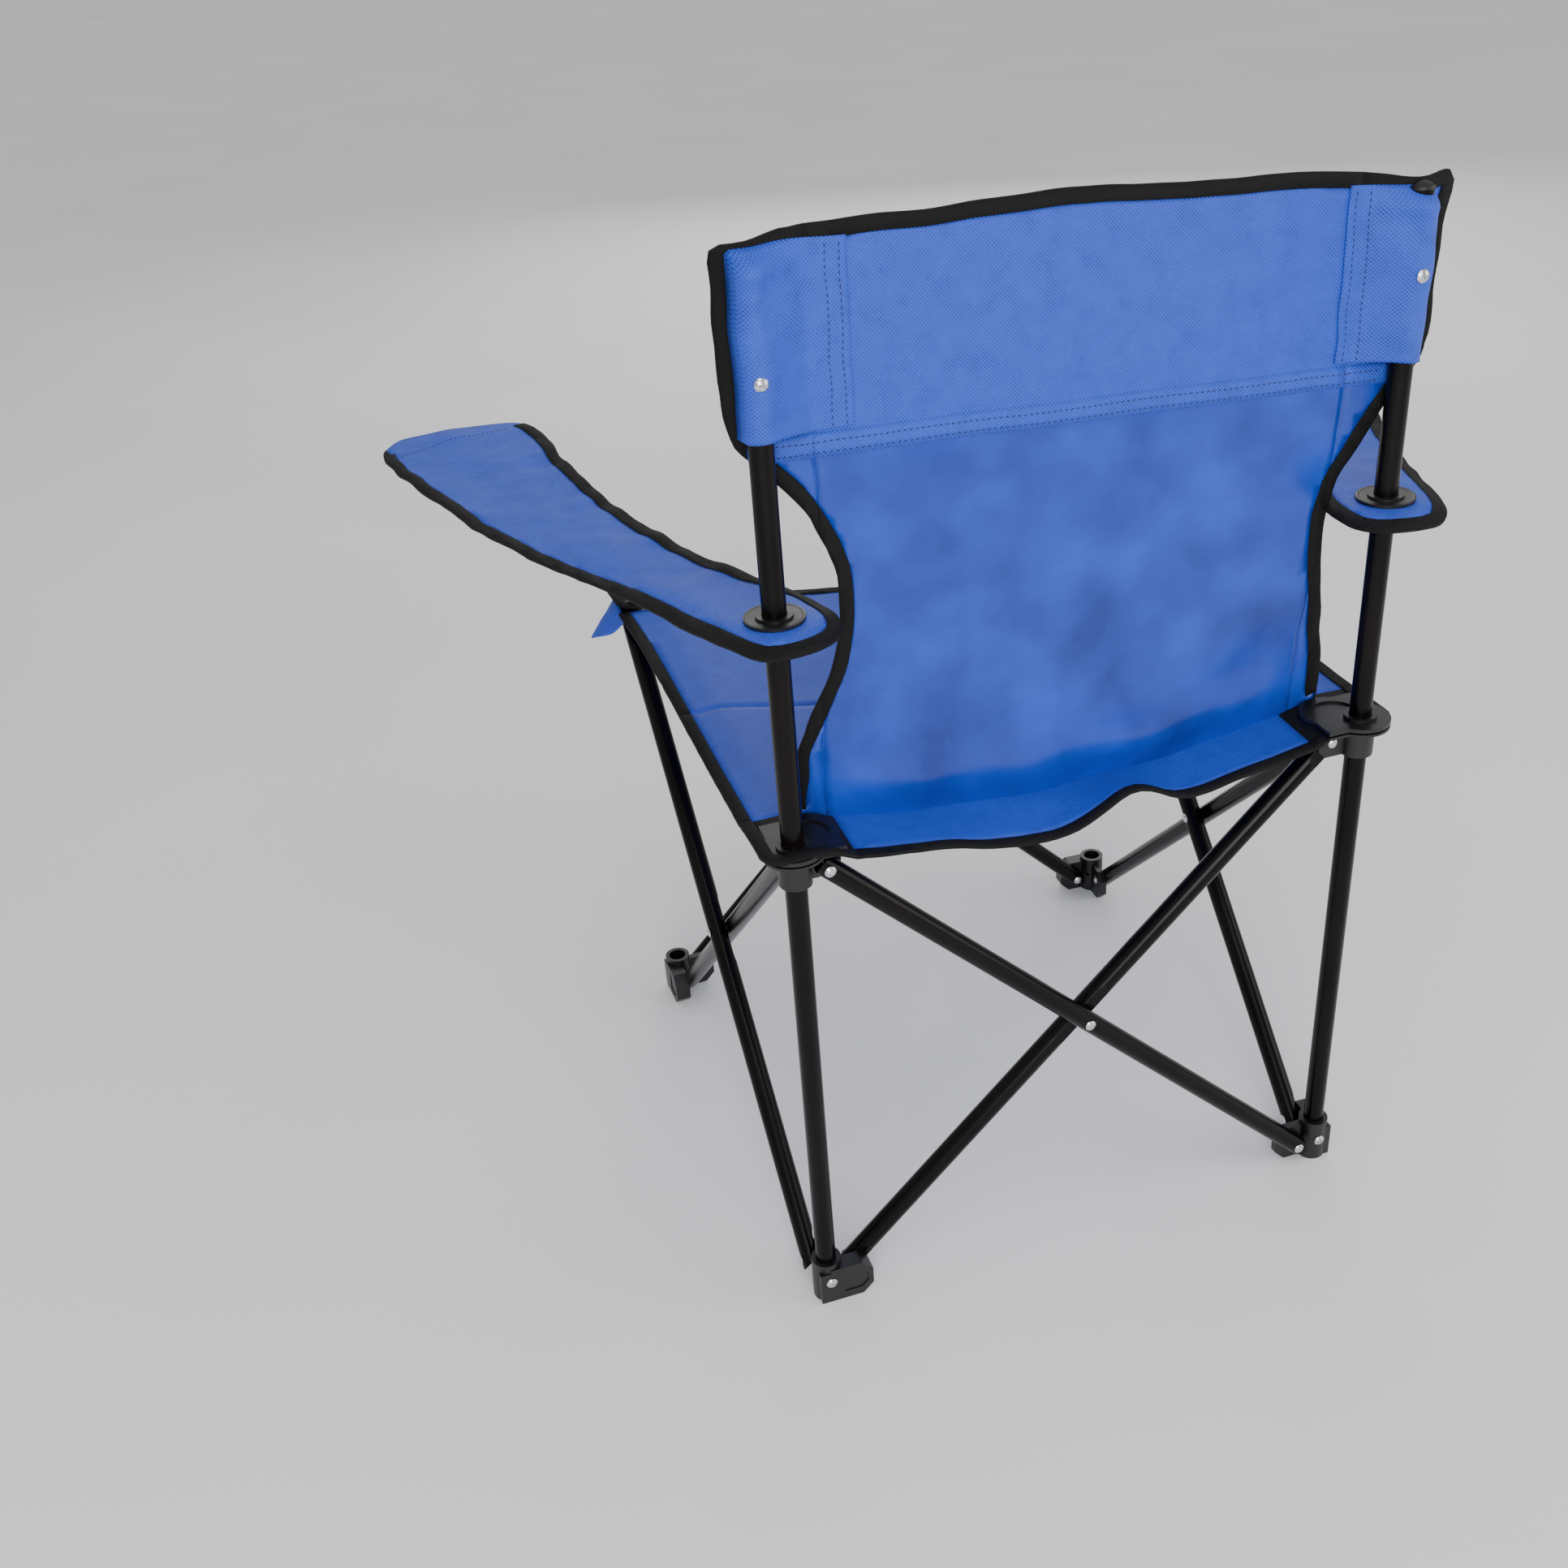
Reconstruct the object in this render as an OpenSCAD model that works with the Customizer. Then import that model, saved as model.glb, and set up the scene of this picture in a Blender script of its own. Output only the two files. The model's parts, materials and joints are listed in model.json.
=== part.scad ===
// Folding camp chair: four corner feet, three scissor pairs of tubes, two back
// posts, sliding rear brackets, front hubs, and sewn fabric seat, back and arms.
// The chair faces -Y, its left side is +X, and it stands on z = 0.

/* [Frame] */
// Outer diameter of every tube
tube_d = 16; // [14:0.5:19]
// Wall thickness of the tubes
tube_wall = 1; // [0.8:0.1:1.5]
// Rear and lower side tubes, pivot to pivot
short_tube = 555; // [500:1:600]
// Upper side tubes, pivot to pivot
long_tube = 581; // [560:1:620]
// Front tubes, foot pivot to arm tip
arm_tube = 800; // [760:1:840]
// Angle of the tubes above the floor, with the chair open
open_angle = 44.3; // [40:0.1:48]
// Height of the foot pivots
foot_pivot_h = 20; // [18:0.5:22]
// Distance of each pivot from its corner axis, along the wall
pivot_inset = 21; // [20.5:0.5:24]
// Distance of each tube's axis from the plane of its ears
tube_offset = 6.6; // [6.2:0.1:7]

/* [Joints] */
// Thickness of the moulded ears
ear_t = 2.6; // [2:0.2:3.2]
// Radius of the rivet shanks
rivet_r = 2.5; // [2:0.1:3]
// Radius of the rivet heads
rivet_head_r = 4.2; // [3.8:0.1:4.6]
// Clearance between moving faces
gap = 0.2; // [0.15:0.05:0.4]
// Running clearance of a rivet in its hole
run = 0.05; // [0.02:0.01:0.08]

/* [Back] */
// Height of the top of the posts
post_top = 800; // [780:1:810]
// Height of the back's top edge
back_top = 816; // [810:1:830]
// Height of the lower edge of the pole pockets
pocket_bottom = 698; // [680:1:710]
// Height of the screws through the pole pockets
back_screw_h = 748; // [735:1:760]
// Overhang of the back panel outside each post axis
back_over = 24; // [20:1:30]

/* [Arms] */
// Height of the armrest cloth
arm_h = 594; // [590:1:600]
// Outward turn of each armrest
arm_yaw = 15.3; // [12:0.1:18]

/* [Cloth] */
// Thickness of the cloth panels
cloth = 1.4; // [1:0.1:2]
// Width of the edge binding
binding_w = 12; // [8:1:14]

/* [Hidden] */
$fn = 48;

tube_r = tube_d / 2;
run_c = cos(open_angle);
rise_s = sin(open_angle);
ratio = long_tube / short_tube;
// The front tubes keep the same slope as the rest only if the side walls splay a little
splay = asin((sqrt(2 * ratio - 1) - 1) / (1 + ratio));
front_yaw = asin((ratio - 1) * cos(splay) / ratio);
// With this inset of the front foot pivots, the front crossing stays at one place on both tubes
front_inset = pivot_inset * (1 + 2 * sin(splay)) / cos(front_yaw);
rear_w = 2 * pivot_inset + short_tube * run_c;
side_foot = 2 * pivot_inset + short_tube * run_c;
side_hub = 2 * pivot_inset + long_tube * run_c;
bracket_h = foot_pivot_h + short_tube * rise_s;
hub_h = foot_pivot_h + long_tube * rise_s;
// The rear posts stand behind the middle, so that the origin is under the middle of the chair
rear_y = 231.3;

function side_dir(s) = [s * sin(splay), -cos(splay)];
function rear_corner(s) = [s * rear_w / 2, rear_y];
function foot_corner(s) = rear_corner(s) + side_dir(s) * side_foot;
function hub_corner(s) = rear_corner(s) + side_dir(s) * side_hub;
// A front tube starts at the foot on side -s and passes the hub on side s
function front_dir(s) = [s * cos(front_yaw), -sin(front_yaw)];
function hub_pivot(s) = foot_corner(-s) + front_dir(s) * (front_inset + long_tube * run_c);

end_r = 8.5;          // round end of a tube about its pivot
cross_press = tube_r - tube_offset + gap;             // depth pressed where two tubes cross
end_press = tube_r - tube_offset + ear_t / 2 + gap;   // depth pressed where a tube meets an ear
cross_at = short_tube / 2;
front_cross_at = short_tube * (0.5 + sin(splay)) / cos(front_yaw);
front_cross_hole = rivet_r + 1.4;   // loose, because the two front tubes lie in walls turned apart
front_extra = 1.2;    // the front pair stands wider apart, because its two walls aren't parallel
front_cross_slack = front_extra + 0.6;
black = [0.07, 0.07, 0.075];
satin = [0.1, 0.1, 0.1];
zinc = [0.78, 0.79, 0.8];
blue = [0.2, 0.36, 0.75];
tape = [0.09, 0.085, 0.085];

module at_xy(p, a) { translate([p[0], p[1], 0]) rotate([0, 0, a]) children(); }
// Puts a shape on a tube whose lower pivot is at this corner: +X along the tube, +Y away from the ear
module on_tube(corner, a) {
    at_xy(corner, a) translate([pivot_inset, tube_offset, foot_pivot_h]) rotate([0, -open_angle, 0]) children();
}
module on_front_tube(corner, a) {
    at_xy(corner, a) translate([front_inset, tube_offset + front_extra, foot_pivot_h])
        rotate([0, -open_angle, 0]) children();
}

// Cuts of a pressed tube, seen along its pins: a flat from a to b with a smooth run-out at each end
module press_profile(a, b, depth, r_out, lift) {
    y = -(tube_r - depth) + lift;
    translate([a, y - 30]) square([b - a, 30]);
    for (x = [a, b]) translate([x, y - r_out]) circle(r = r_out);
}
// One solid rod with all its pressed flats; the tube is one of these less a thinner one
module pressed_rod(l, r, lift, flats, over) {
    difference() {
        translate([-end_r - over, 0, 0]) rotate([0, 90, 0]) cylinder(r = r, h = l + 2 * end_r + 2 * over);
        for (f = flats) translate([0, 0, -tube_d]) linear_extrude(2 * tube_d)
            press_profile(f[0], f[1], f[2], f[3], lift);
    }
}
module rod_outline(l) {
    rotate([90, 0, 0]) linear_extrude(3 * tube_d, center = true) {
        circle(r = end_r);
        translate([l, 0]) circle(r = end_r);
        translate([0, -end_r]) square([l, 2 * end_r]);
    }
}
module pressed_tube(l, flats, pins) {
    difference() {
        intersection() {
            pressed_rod(l, tube_r, 0, flats, 0);
            rod_outline(l);
        }
        pressed_rod(l, tube_r - tube_wall, tube_wall, flats, 1);
        for (pin = pins) translate([pin[0], 0, 0]) rotate([90, 0, 0])
            cylinder(r = pin[1], h = 2 * tube_d, center = true);
    }
}
function end_flat(x, s) = [x - (s > 0 ? 40 : 14), x + (s > 0 ? 14 : 40), end_press, 14];
function cross_flat(x) = [x - 24, x + 24, cross_press, 12];
rivet_hole = rivet_r + run;

// A side or rear tube of length l, pinned at its ends and where it crosses its partner
module frame_tube(l) {
    pressed_tube(l, [end_flat(0, 1), cross_flat(cross_at), end_flat(l, -1)],
        [[0, rivet_hole], [cross_at, rivet_hole], [l, rivet_hole]]);
}
module arm_pressed() {
    pressed_tube(arm_tube, [end_flat(0, 1), cross_flat(front_cross_at),
        [long_tube - 15, long_tube + 15, end_press, 12]],
        [[0, rivet_hole], [front_cross_at, front_cross_hole], [long_tube, rivet_hole]]);
}

// Rivet along +Y: shank between two distances from the ear plane, with a domed head at each wanted end
module rivet(y0, y1, head0 = true) {
    rotate([-90, 0, 0]) {
        translate([0, 0, y0]) cylinder(r = rivet_r, h = y1 - y0);
        translate([0, 0, y1]) rivet_head();
        if (head0) translate([0, 0, y0]) mirror([0, 0, 1]) rivet_head();
    }
}
module rivet_head() {
    rotate_extrude() intersection() {
        translate([0, -4.2]) circle(r = 6);
        square([rivet_head_r, 3]);
    }
}
crown = tube_offset + tube_r;   // outside of a tube, measured from its ear plane

module pan_screw(shank) {
    difference() {
        union() {
            rotate_extrude() intersection() {
                translate([0, -4]) circle(r = 6.2);
                square([4.5, 3]);
            }
            translate([0, 0, -shank]) cylinder(r = 1.9, h = shank + 0.5);
        }
        for (a = [0, 90]) rotate([0, 0, a]) translate([-2.3, -0.45, 1]) cube([4.6, 0.9, 3]);
    }
}

// Outline of an ear with its free corners cut off
module ear_outline(len, low, high, cut) {
    polygon([[0, low], [len - cut, low], [len, low + cut], [len, high - cut], [len - cut, high], [0, high]]);
}
module ear(len, low, high, cut, y0, y1) {
    rotate([90, 0, 0]) translate([0, 0, -y1]) linear_extrude(y1 - y0) ear_outline(len, low, high, cut);
}
foot_socket_h = 38;
socket_r = 11.8;
ear_len = pivot_inset + 14;
foot_block = 12.4;   // outer face of the closed ear, flush with the socket's flat side
screw_hole_r = 2.1;

// Foot moulding at its corner: the closed ear lies along a, the open ear along b, and the post's screw hole along h
module foot(a, b, h, inset_a = pivot_inset, inset_b = pivot_inset) {
    color(satin) difference() {
        union() {
            cylinder(r = socket_r, h = foot_socket_h);
            rotate([0, 0, a]) {
                ear(ear_len, 0, 33, 9, -foot_block, ear_t / 2);
                translate([-9, -foot_block, 0]) cube([10, foot_block, 30]);
            }
            rotate([0, 0, b]) ear(ear_len, 0, 33, 9, -5, ear_t / 2);
        }
        translate([0, 0, 6]) cylinder(r = tube_r + 0.1, h = foot_socket_h);
        rotate([0, 0, a]) {
            // shallow panel in the closed ear's outer face
            translate([11, -foot_block - 1, 0]) ear(ear_len - 15, 7, 27, 6, 0, 1.8);
            translate([inset_a, 0, foot_pivot_h]) rotate([-90, 0, 0])
                translate([0, 0, -8]) cylinder(r = rivet_hole, h = 30);
        }
        rotate([0, 0, h]) translate([0, 0, foot_pivot_h]) rotate([0, 90, 0]) cylinder(r = screw_hole_r, h = 16);
        rotate([0, 0, b]) translate([inset_b, 0, foot_pivot_h]) rotate([90, 0, 0])
            cylinder(r = rivet_hole, h = 40, center = true);
    }
}
// Rivets of one foot: blind in the closed ear, right through the open one
module foot_rivets(a, b, inset_a = pivot_inset, inset_b = pivot_inset, off_a = 0, off_b = 0) {
    color(zinc) {
        rotate([0, 0, a]) translate([inset_a, 0, foot_pivot_h]) rivet(-7.5, crown + off_a + run, head0 = false);
        rotate([0, 0, b]) translate([inset_b, 0, foot_pivot_h]) rivet(-5, crown + off_b + run);
    }
}

module post(s) {
    p = rear_corner(s);
    color(black) translate([p[0], p[1], 6]) difference() {
        cylinder(r = tube_r, h = post_top - 6);
        translate([0, 0, -1]) cylinder(r = tube_r - tube_wall, h = post_top);
        for (z = [foot_pivot_h, back_screw_h]) translate([0, 0, z - 6]) rotate([-90, 0, 0])
            cylinder(r = screw_hole_r, h = tube_d);
    }
}
module post_plug(s) {
    p = rear_corner(s);
    color(satin) translate([p[0], p[1], post_top]) {
        rotate_extrude() {
            square([tube_r + 0.6, 2]);
            intersection() {
                translate([0, -6]) circle(r = 11);
                square([tube_r - 0.4, 6]);
            }
        }
        translate([0, 0, -14]) cylinder(r = tube_r - tube_wall - 0.05, h = 14);
    }
}
module post_screw(s, z, y, shank) {
    p = rear_corner(s);
    color(zinc) translate([p[0], p[1] + y, z]) rotate([-90, 0, 0]) pan_screw(shank);
}

// Rear bracket: a sleeve that slides on the post, two thin ears, and a flange under the seat cloth
sleeve_r = 11.8;
flange_z = 11.4;      // underside of the flange above the pivots
flange_t = 2;
cap_z = flange_z + flange_t + 1.5;
cap_t = 3;
module corner_outline(a, b) {
    // rounded plate around the post, reaching inwards over both ears
    circle(r = 22);
    for (d = [a, b]) rotate(d) translate([0, -14]) square([34, 28]);
    rotate((a + b) / 2) translate([22, 0]) circle(r = 22);
}
module rear_bracket(s, a, b) {
    p = rear_corner(s);
    color(satin) translate([p[0], p[1], bracket_h]) difference() {
        union() {
            translate([0, 0, -12]) cylinder(r = sleeve_r, h = 12 + flange_z + flange_t);
            for (d = [a, b]) rotate([0, 0, d])
                ear(ear_len - 2, -11, flange_z + 0.5, 6, -ear_t / 2, ear_t / 2);
            translate([0, 0, flange_z]) linear_extrude(flange_t) corner_outline(a, b);
        }
        translate([0, 0, -30]) cylinder(r = tube_r + 0.3, h = 80);
        for (d = [a, b]) rotate([0, 0, d]) translate([pivot_inset, 0, 0]) rotate([90, 0, 0])
            cylinder(r = rivet_hole, h = 10, center = true);
    }
}
module rear_cap(s, a, b) {
    p = rear_corner(s);
    color(satin) translate([p[0], p[1], bracket_h + cap_z]) difference() {
        union() {
            linear_extrude(cap_t) corner_outline(a, b);
            cylinder(r = sleeve_r, h = cap_t + 2);
        }
        translate([0, 0, 1.6]) linear_extrude(cap_t) difference() {
            rotate((a + b) / 2) translate([18, 0]) circle(r = 17);
            circle(r = sleeve_r);
        }
        translate([0, 0, -1]) cylinder(r = tube_r + 0.3, h = 20);
    }
}
// Rivets of a rear bracket, whose two tubes lie on its ears' -Y faces
module bracket_rivets(s, a, b) {
    p = rear_corner(s);
    color(zinc) translate([p[0], p[1], bracket_h])
        for (d = [a, b]) rotate([0, 0, d]) translate([pivot_inset, 0, 0]) mirror([0, 1, 0])
            rivet(-ear_t / 2, crown + run);
}

// Front hub: a front ear for the arm tube, a side ear for the upper side tube, and a flange for the seat
hub_flange_y = 17;    // the flange starts behind the path of the arm tube
hub_flange = [42, 36];
hub_rivet_y = hub_pivot(1)[1] - hub_corner(1)[1];
hub_rivet_x = hub_corner(1)[0] - hub_pivot(1)[0];
module hub_flange_outline(s) {
    translate([s > 0 ? -30 : -12, hub_flange_y]) square(hub_flange);
}
module front_hub(s) {
    p = hub_corner(s);
    color(satin) translate([p[0], p[1], hub_h]) difference() {
        union() {
            // front ear, in the plane of the arm tube
            translate([-s * hub_rivet_x, hub_rivet_y, 0]) rotate([0, 0, s > 0 ? 180 - front_yaw : front_yaw])
                translate([-hub_rivet_x, 0, 0]) ear(hub_rivet_x + 13, -11, 11, 6, -ear_t / 2, ear_t / 2);
            rotate([0, 0, 90 + s * splay]) {
                ear(ear_len - 2, -11, 8, 5, -ear_t / 2, ear_t / 2);
                translate([hub_flange_y, 0, 0]) ear(33, -4, flange_z + 1, 4, -ear_t / 2, ear_t / 2);
            }
            translate([s > 0 ? -12 : -0.4, hub_rivet_y, -10]) cube([12.4, 14, 6]);
            translate([0, 0, flange_z]) linear_extrude(flange_t) hub_flange_outline(s);
        }
        translate([-s * hub_rivet_x, hub_rivet_y, 0]) rotate([90, 0, s > 0 ? -front_yaw : front_yaw])
            cylinder(r = rivet_hole, h = 10, center = true);
        rotate([0, 0, 90 + s * splay]) translate([pivot_inset, 0, 0]) rotate([90, 0, 0])
            cylinder(r = rivet_hole, h = 10, center = true);
    }
}
module front_cap(s) {
    p = hub_corner(s);
    color(satin) translate([p[0], p[1], hub_h + cap_z]) difference() {
        linear_extrude(cap_t) hub_flange_outline(s);
        translate([s > 0 ? -27 : -9, hub_flange_y + 3, 1.6]) cube([hub_flange[0] - 6, hub_flange[1] - 6, 5]);
    }
}
module hub_rivets(s) {
    p = hub_corner(s);
    // the left hub's tubes lie outside its side ear and behind its front ear, the right hub's the other way
    color(zinc) translate([p[0], p[1], hub_h]) {
        rotate([0, 0, 90 + s * splay]) translate([pivot_inset, 0, 0]) mirror([0, 1, 0])
            rivet(-ear_t / 2, crown + run);
        translate([-s * hub_rivet_x, hub_rivet_y, 0]) rotate([0, 0, s > 0 ? -front_yaw : 180 + front_yaw])
            rivet(-ear_t / 2, crown + front_extra + run);
    }
}

module arm_tip() {
    translate([arm_tube, 0, 0]) rotate([0, 90, 0]) color(satin) difference() {
        union() {
            translate([0, 0, -16]) cylinder(r = tube_r + 1.2, h = 26);
            translate([0, 0, 10]) rotate_extrude() intersection() {
                translate([0, -12]) circle(r = 15.15);
                square([tube_r + 1.2, 6]);
            }
        }
        translate([0, 0, -17]) cylinder(r = tube_r + 0.05, h = 17 + end_r + 0.3);
    }
}

module grommet(s, top) {
    p = rear_corner(s);
    color(satin) translate([p[0], p[1], arm_h]) mirror([0, 0, top ? 0 : 1]) rotate_extrude() difference() {
        union() {
            translate([tube_r + 0.3, 1]) square([11.7, 2.2]);
            translate([tube_r + 0.3, 1]) square([4, 3.6]);
            translate([18.5, 2]) circle(r = 1.4);
        }
        translate([0, -1]) square([30, 2]);
    }
}

// Back panel: vertical down to the bend, then leaning forward to the line where it is sewn to the seat
back_bend = 650;
back_low = 424;
back_y = rear_y - tube_r - 1;
back_lean = atan((40 - tube_r) / (back_bend - back_low));
waist_x = 168;
module back_outline() {
    w = rear_w / 2 + back_over;
    polygon([[-w + 8, back_top], [-w, back_top - 8], [-w, 700], [-w + 17, 676], [-waist_x - 8, 628],
        [-waist_x, 600], [-waist_x, 545], [-waist_x - 22, 505], [-waist_x - 30, 470], [-waist_x - 44, back_low],
        [waist_x + 44, back_low], [waist_x + 30, 470], [waist_x + 22, 505], [waist_x, 545], [waist_x, 600],
        [waist_x + 8, 628], [w - 17, 676], [w, 700], [w, back_top - 8], [w - 8, back_top]]);
}
module back_field() { offset(delta = -binding_w) back_outline(); }
// Stands a drawing of the back up, t thick, in its two planes
module stand_up(t, y) {
    translate([0, y + t / 2, 0]) rotate([90, 0, 0]) linear_extrude(t) intersection() {
        children();
        translate([-300, back_bend]) square([600, 300]);
    }
    translate([0, y, back_bend]) rotate([-back_lean, 0, 0]) translate([0, t / 2, -back_bend])
        rotate([90, 0, 0]) linear_extrude(t) intersection() {
            children();
            translate([-300, 300]) square([600, back_bend - 300]);
        }
}
module back_panel() { color(blue) stand_up(cloth, back_y - 0.5) back_field(); }
module back_binding() {
    color(tape) stand_up(cloth, back_y - 0.5) difference() {
        back_outline();
        back_field();
    }
}
// Pole pocket: a strip sewn beside the post on both sides and going round behind it
pocket_in = 10.4;
pocket_reach = 36;
module pole_pocket(s) {
    p = rear_corner(s);
    y0 = back_y - 0.5 + cloth / 2 + gap - p[1];
    inner = 7;      // the sewn strips start this far from the post's axis
    color(blue) translate([p[0], p[1], pocket_bottom]) mirror([s > 0 ? 0 : 1, 0, 0]) difference() {
        linear_extrude(back_top - binding_w - 2 - pocket_bottom) {
            difference() {
                circle(r = pocket_in + cloth);
                circle(r = pocket_in);
                translate([-20, -40 + y0]) square(40);
            }
            translate([-pocket_reach, y0]) square([pocket_reach - inner, cloth]);
            translate([inner, y0]) square([back_over - binding_w - inner, cloth]);
        }
        translate([0, 0, back_screw_h - pocket_bottom]) rotate([-90, 0, 0]) cylinder(r = screw_hole_r, h = 30);
    }
}

// Seat: two halves that meet across the middle, each a flat sheet here
seat_rear_z = bracket_h + flange_z + flange_t + 0.75;
seat_front_z = hub_h + flange_z + flange_t + 0.75;
seat_back_y = rear_y + 12;
seat_front_y = hub_corner(1)[1] + hub_flange_y + 6;
seat_mid_y = (seat_back_y + seat_front_y) / 2;
seat_slope = atan((seat_front_z - seat_rear_z) / (rear_y - hub_corner(1)[1] - 35));
module seat_outline() {
    x0 = rear_w / 2 + 16;
    x1 = hub_corner(1)[0] + 6;
    polygon([[-x0, seat_back_y], [-x0 + 6, rear_y - 90], [-x1 + 4, seat_front_y + 90], [-x1, seat_front_y],
        [x1, seat_front_y], [x1 - 4, seat_front_y + 90], [x0 - 6, rear_y - 90], [x0, seat_back_y]]);
}
module seat_notches() {
    for (s = [-1, 1]) {
        translate([s * rear_w / 2 - 42, rear_y - 44]) square([84, 70]);
        translate([hub_corner(s)[0] - (s > 0 ? 32 : 14), seat_front_y - 10])
            square([46, 45]);
    }
}
module seat_sheet(front, edge) {
    translate([0, rear_y, seat_rear_z]) rotate([-seat_slope, 0, 0]) translate([0, -rear_y, -cloth / 2])
        linear_extrude(cloth) intersection() {
            difference() {
                seat_outline();
                if (edge) offset(delta = -binding_w) seat_outline();
                seat_notches();
            }
            if (!edge) offset(delta = -binding_w) seat_outline();
            translate([-300, front ? seat_front_y - 10 : seat_mid_y])
                square([600, front ? seat_mid_y - seat_front_y + 10 : 300]);
        }
}

// Armrest cut, with the grommet at the origin and the arm pointing along +X, its outer side at +Y
arm_long = 500;
arm_behind = 25;        // cloth behind the post's axis
arm_out = 30;           // outer edge beside the post
arm_front_out = 72;     // outer edge where the arm is broadest
arm_in = 50;            // inner edge beside the post
arm_waist = 30;         // inner edge along the middle, where the arm is narrow
arm_front_in = 45;      // inner edge at the front
module arm_outline() {
    rear = [[0, -arm_in], [-arm_behind + 5, -arm_in / 2], [-arm_behind, 0], [-arm_behind / 2, arm_out - 8],
        [5, arm_out]];
    outer = [[60, arm_out], [arm_long * 0.3, arm_out + 10], [arm_long / 2, arm_front_out - 12],
        [arm_long * 0.8, arm_front_out - 2], [arm_long - 50, arm_front_out]];
    front = [[arm_long - 15, arm_front_out - 10], [arm_long, arm_front_out / 2],
        [arm_long - 25, -arm_front_in + 5], [arm_long - 45, -arm_front_in]];
    inner = [[arm_long * 0.7, -arm_waist - 5], [arm_long * 0.45, -arm_waist], [arm_long * 0.25, -arm_waist - 5],
        [70, -arm_in], [30, -arm_in - 5]];
    polygon(concat(rear, outer, front, inner));
}
module arm_sheet(s, edge) {
    p = rear_corner(s);
    translate([p[0], p[1], arm_h - cloth / 2]) mirror([s > 0 ? 0 : 1, 0, 0]) rotate([0, 0, -90 + arm_yaw])
        linear_extrude(cloth) difference() {
            intersection() {
                arm_outline();
                if (!edge) offset(delta = -binding_w) arm_outline();
            }
            if (edge) offset(delta = -binding_w) arm_outline();
            circle(r = 9);
        }
}

left_a = 180;
left_b = -90 + splay;
right_a = -90 - splay;
right_b = 0;
fr_a = -front_yaw;
fr_b = 90 - splay;
fl_a = 90 + splay;
fl_b = 180 + front_yaw;

at_xy(rear_corner(1), 0) foot(left_a, left_b, 90);  // rear_left_foot
at_xy(rear_corner(-1), 0) foot(right_a, right_b, 90);  // rear_right_foot
at_xy(foot_corner(1), 0) foot(fl_a, fl_b, 135, inset_b = front_inset);  // front_left_foot
at_xy(foot_corner(-1), 0) foot(fr_a, fr_b, 45, inset_a = front_inset);  // front_right_foot
post(1);  // left_post
post(-1);  // right_post
post_plug(1);  // left_post_plug
post_plug(-1);  // right_post_plug
post_screw(1, foot_pivot_h, foot_block + run, 10);  // left_post_screw
post_screw(-1, foot_pivot_h, socket_r + run, 10);  // right_post_screw
post_screw(1, back_screw_h, pocket_in + cloth + run, 9);  // left_back_screw
post_screw(-1, back_screw_h, pocket_in + cloth + run, 9);  // right_back_screw
color(black) on_tube(rear_corner(-1), right_b) frame_tube(short_tube);  // rear_cross_tube_outer
color(black) on_tube(rear_corner(1), left_a) frame_tube(short_tube);  // rear_cross_tube_inner
color(zinc) on_tube(rear_corner(1), left_a)  // rear_cross_rivet
    translate([cross_at, -tube_offset, 0]) rivet(-crown - run, crown + run);
color(black) on_tube(rear_corner(1), left_b) frame_tube(long_tube);  // left_upper_side_tube
color(black) on_tube(foot_corner(1), fl_a) frame_tube(short_tube);  // left_lower_side_tube
color(zinc) on_tube(foot_corner(1), fl_a)  // left_side_rivet
    translate([cross_at, -tube_offset, 0]) rivet(-crown - run, crown + run);
color(black) on_tube(rear_corner(-1), right_a) frame_tube(long_tube);  // right_upper_side_tube
color(black) on_tube(foot_corner(-1), fr_b) frame_tube(short_tube);  // right_lower_side_tube
color(zinc) on_tube(foot_corner(-1), fr_b)  // right_side_rivet
    translate([cross_at, -tube_offset, 0]) rivet(-crown - run, crown + run);
color(black)  // front_cross_tube_inner
    on_front_tube(foot_corner(-1), fr_a) arm_pressed();
color(black)  // front_cross_tube_outer
    on_front_tube(foot_corner(1), fl_b) arm_pressed();
color(zinc)  // front_cross_rivet
    on_front_tube(foot_corner(-1), fr_a)
    translate([front_cross_at, -tube_offset - front_extra, 0])
        rivet(-crown - front_cross_slack, crown + front_extra + run);
on_front_tube(foot_corner(-1), fr_a) arm_tip();  // left_arm_tip
on_front_tube(foot_corner(1), fl_b) arm_tip();  // right_arm_tip
rear_bracket(1, left_a, left_b + 360);  // rear_left_bracket
rear_bracket(-1, right_a, right_b);  // rear_right_bracket
rear_cap(1, left_a, left_b + 360);  // rear_left_cap
rear_cap(-1, right_a, right_b);  // rear_right_cap
front_hub(1);  // front_left_hub
front_hub(-1);  // front_right_hub
front_cap(1);  // front_left_cap
front_cap(-1);  // front_right_cap
at_xy(rear_corner(1), 0) foot_rivets(left_a, left_b);  // rear_left_foot_rivets
at_xy(rear_corner(-1), 0) foot_rivets(right_a, right_b);  // rear_right_foot_rivets
at_xy(foot_corner(1), 0) foot_rivets(fl_a, fl_b, inset_b = front_inset, off_b = front_extra);  // front_left_foot_rivets
at_xy(foot_corner(-1), 0) foot_rivets(fr_a, fr_b, inset_a = front_inset, off_a = front_extra);  // front_right_foot_rivets
bracket_rivets(1, left_a, left_b);  // rear_left_bracket_rivets
bracket_rivets(-1, right_a, right_b);  // rear_right_bracket_rivets
hub_rivets(1);  // front_left_hub_rivets
hub_rivets(-1);  // front_right_hub_rivets
grommet(1, true);  // left_grommet_top
grommet(1, false);  // left_grommet_base
grommet(-1, true);  // right_grommet_top
grommet(-1, false);  // right_grommet_base
back_panel();
back_binding();
pole_pocket(1);  // left_pole_pocket
pole_pocket(-1);  // right_pole_pocket
color(blue) seat_sheet(false, false);  // seat_rear
color(blue) seat_sheet(true, false);  // seat_front
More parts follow.
